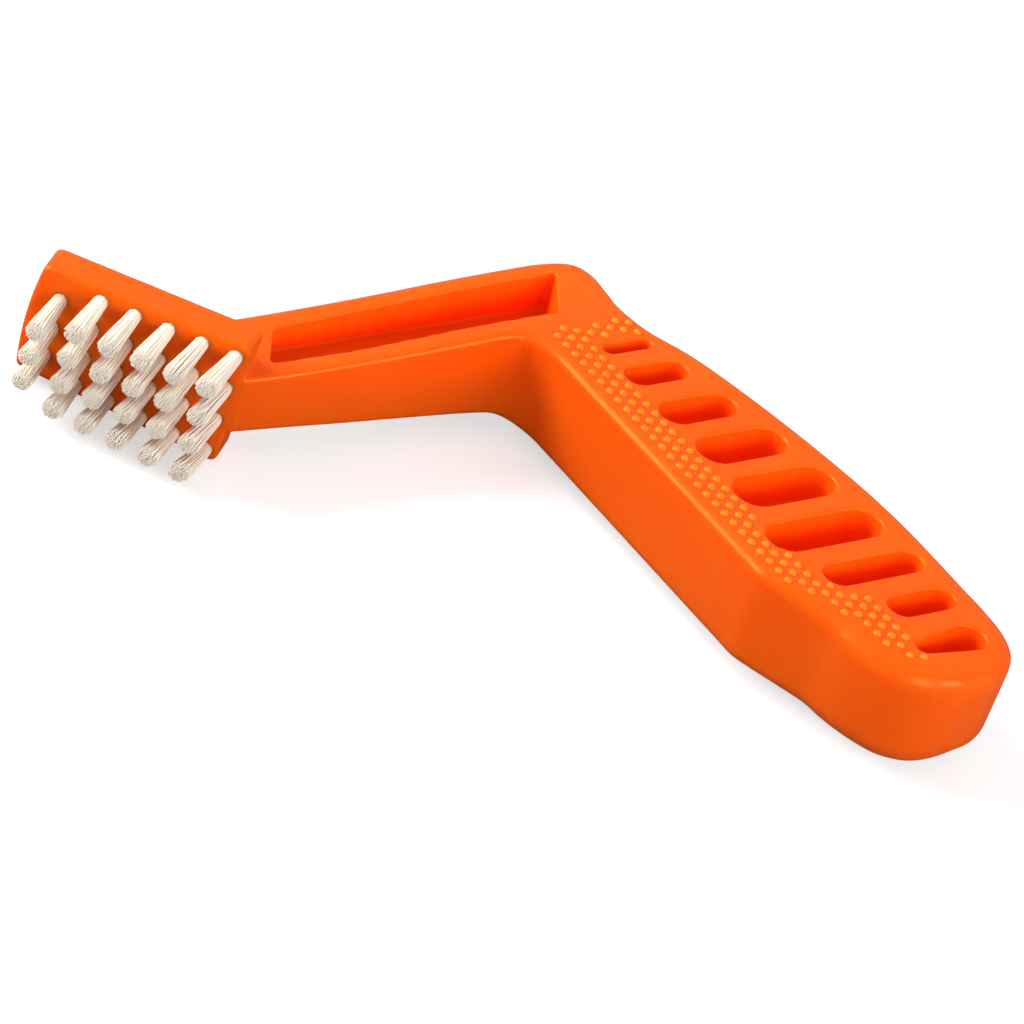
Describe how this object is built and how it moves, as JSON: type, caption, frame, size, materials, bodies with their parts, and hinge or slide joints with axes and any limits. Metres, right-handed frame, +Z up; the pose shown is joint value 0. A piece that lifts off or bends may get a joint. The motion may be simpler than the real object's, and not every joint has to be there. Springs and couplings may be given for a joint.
{
  "type": "pad conditioning brush",
  "caption": "Hand brush with a one-piece moulded handle, bent neck and short bristle head, for cleaning polishing pads.",
  "frame": {"origin": "under the middle of the brush, on the surface that its side lies on", "axes": "+X from the toe of the head to the pommel, -Y the way the bristles point, +Z up out of the side of the handle"},
  "size_m": [0.202, 0.0884, 0.0293],
  "materials": {
    "orange_plastic": "satin moulded plastic",
    "nylon_bristle": "matt nylon strands",
    "anchor_wire": "drawn flat wire"
  },
  "bodies": {
    "root": {"handle_body": "orange_plastic", "tuft_01": "nylon_bristle", "tuft_02": "nylon_bristle", "tuft_03": "nylon_bristle", "tuft_04": "nylon_bristle", "tuft_05": "nylon_bristle", "tuft_06": "nylon_bristle", "tuft_07": "nylon_bristle", "tuft_08": "nylon_bristle", "tuft_09": "nylon_bristle", "tuft_10": "nylon_bristle", "tuft_11": "nylon_bristle", "tuft_12": "nylon_bristle", "tuft_13": "nylon_bristle", "tuft_14": "nylon_bristle", "tuft_15": "nylon_bristle", "tuft_16": "nylon_bristle", "tuft_17": "nylon_bristle", "tuft_18": "nylon_bristle", "tuft_19": "nylon_bristle", "tuft_20": "nylon_bristle", "tuft_21": "nylon_bristle", "tuft_22": "nylon_bristle", "tuft_23": "nylon_bristle", "anchor_01": "anchor_wire", "anchor_02": "anchor_wire", "anchor_03": "anchor_wire", "anchor_04": "anchor_wire", "anchor_05": "anchor_wire", "anchor_06": "anchor_wire", "anchor_07": "anchor_wire", "anchor_08": "anchor_wire", "anchor_09": "anchor_wire", "anchor_10": "anchor_wire", "anchor_11": "anchor_wire", "anchor_12": "anchor_wire", "anchor_13": "anchor_wire", "anchor_14": "anchor_wire", "anchor_15": "anchor_wire", "anchor_16": "anchor_wire", "anchor_17": "anchor_wire", "anchor_18": "anchor_wire", "anchor_19": "anchor_wire", "anchor_20": "anchor_wire", "anchor_21": "anchor_wire", "anchor_22": "anchor_wire", "anchor_23": "anchor_wire"}
  },
  "joints": []
}
